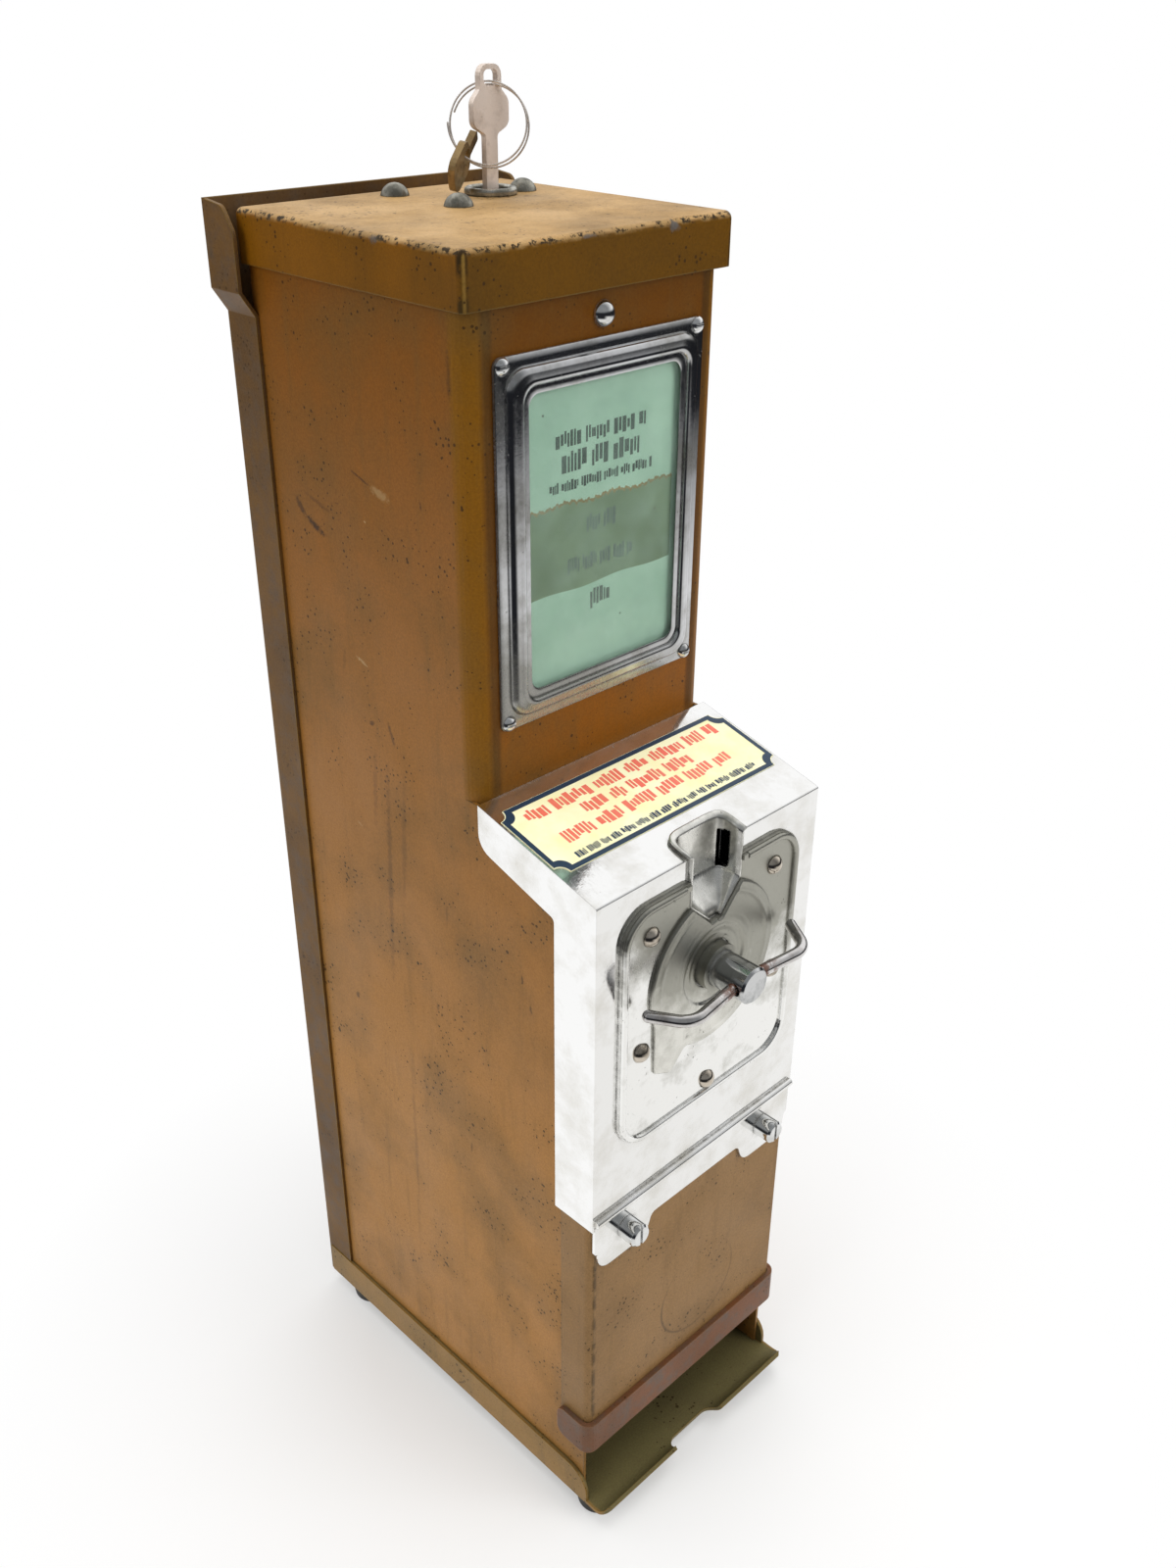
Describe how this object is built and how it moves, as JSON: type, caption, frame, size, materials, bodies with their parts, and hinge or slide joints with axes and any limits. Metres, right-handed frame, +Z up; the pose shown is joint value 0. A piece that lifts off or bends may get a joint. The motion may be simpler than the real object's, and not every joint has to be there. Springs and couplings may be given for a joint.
{
  "type": "stamp vending machine",
  "caption": "Tall slim stepped metal vending cabinet with a framed sign, sloping label top, coin pocket, crank handle, delivery tray, lift-off locking lid and wall bracket.",
  "frame": {"origin": "middle of the whole part's footprint, on the surface under the rubber feet", "axes": "+Z up, -Y towards the person who turns the handle, +Y towards the wall, +X to that person's right"},
  "size_m": [0.1166, 0.1852, 0.4983],
  "materials": {
    "bronze_paint": "bronze-brown paint on sheet steel, satin, scratched and chipped",
    "bracket_paint": "dark brown paint with a grey-purple bloom, worn edges",
    "tray_paint": "olive paint, worn to bare metal along the edges",
    "strap_metal": "coppered strap, dulled brown with rubbed edges",
    "chrome": "bright chromium plate, scuffed",
    "nickel": "dull nickel, pitted and stained",
    "steel": "plain steel, lightly oiled",
    "rubber": "black rubber",
    "glass": "clear window glass",
    "card": "faded green card with a darker torn band",
    "label_print": "printed label, cream with a navy border",
    "brass": "dull brass, rubbed"
  },
  "bodies": {
    "cabinet": {"wall_bracket": "bracket_paint", "tray": "tray_paint", "foot_rear_left": "rubber", "foot_rear_right": "rubber", "foot_front_left": "rubber", "foot_front_right": "rubber", "case_shell": "bronze_paint", "lower_panel": "bronze_paint", "guard_strap": "strap_metal", "unit_housing": "chrome", "tab_strip": "chrome", "coin_plate": "chrome", "plate_rivet_1": "nickel", "plate_rivet_2": "nickel", "plate_rivet_3": "nickel", "plate_rivet_4": "nickel", "plate_rivet_5": "nickel", "coin_pocket": "nickel", "coin_cover": "nickel", "spindle_bushing": "nickel", "bearing_plate": "steel", "rack_guide_upper": "steel", "rack_guide_lower": "steel", "transfer_bracket": "steel", "slide_rail": "steel", "packet_shelf": "bronze_paint", "magazine": "steel", "coin_runway": "steel", "coin_shelf": "bronze_paint", "coin_box": "steel", "cam_keeper": "steel", "sign_frame": "chrome", "sign_glass": "glass", "sign_card": "card", "sign_screw_1": "chrome", "sign_screw_2": "chrome", "sign_screw_3": "chrome", "sign_screw_4": "chrome", "dome_bolt": "chrome", "label": "label_print"},
    "handle": {"spindle": "chrome", "handle_wire": "chrome", "spindle_pinion": "steel"},
    "rack": {"rack_bar": "steel"},
    "transfer": {"transfer_gears": "steel"},
    "ejector": {"ejector_slide": "steel"},
    "follower_weight": {"follower": "steel"},
    "lid": {"lid_cap": "bronze_paint", "lid_rivet_1": "nickel", "lid_rivet_2": "nickel", "lid_rivet_3": "nickel", "lock_body": "nickel"},
    "lock_key": {"lock_plug": "nickel", "lock_cam": "steel", "key": "nickel"},
    "ring": {"key_ring": "nickel"},
    "spare": {"spare_key": "brass"},
    "left_stud": {"stud_left": "chrome"},
    "right_stud": {"stud_right": "chrome"}
  },
  "joints": [
    {"name": "handle_turn", "type": "hinge", "parent": "cabinet", "child": "handle", "pos_m": [0, -0.07243, 0.2382], "axis": [0, 1, 0], "range_deg": [0, 110]},
    {"name": "rack_lift", "type": "slide", "parent": "cabinet", "child": "rack", "axis": [0, 0, 1], "range_m": [0, 0.02304]},
    {"name": "transfer_turn", "type": "hinge", "parent": "cabinet", "child": "transfer", "pos_m": [-0.02, -0.02092, 0.076], "axis": [-1, 0, 0], "range_deg": [0, 110]},
    {"name": "ejector_push", "type": "slide", "parent": "cabinet", "child": "ejector", "axis": [0, -1, 0], "range_m": [0, 0.03072]},
    {"name": "follower_lift", "type": "slide", "parent": "cabinet", "child": "follower_weight", "axis": [0, 0, 1], "range_m": [0, 0.365]},
    {"name": "lid_lift", "type": "slide", "parent": "cabinet", "child": "lid", "axis": [0, 0, 1], "range_m": [0, 0.06]},
    {"name": "key_turn", "type": "hinge", "parent": "lid", "child": "lock_key", "pos_m": [0.0226, 0.05307, 0.46095], "axis": [0, 0, -1], "range_deg": [0, 90]},
    {"name": "ring_swing", "type": "hinge", "parent": "lock_key", "child": "ring", "pos_m": [0.0226, 0.05307, 0.4932], "axis": [-0.7071, 0.7071, 0], "range_deg": [0, 45]},
    {"name": "spare_swing", "type": "hinge", "parent": "ring", "child": "spare", "pos_m": [0.01464, 0.05634, 0.47223], "axis": [-0.4611, 0.6062, 0.648], "range_deg": [0, 20]},
    {"name": "left_stud_turn", "type": "hinge", "parent": "cabinet", "child": "left_stud", "pos_m": [-0.0365, -0.07243, 0.144], "axis": [0, 1, 0], "range_deg": [0, 90]},
    {"name": "right_stud_turn", "type": "hinge", "parent": "cabinet", "child": "right_stud", "pos_m": [0.0365, -0.07243, 0.144], "axis": [0, 1, 0], "range_deg": [0, 90]}
  ],
  "couplings": [
    {"joint": "rack_lift", "follows": "handle_turn", "m_per_rad": 0.012},
    {"joint": "transfer_turn", "follows": "handle_turn", "ratio": 1},
    {"joint": "ejector_push", "follows": "handle_turn", "m_per_rad": 0.016}
  ]
}
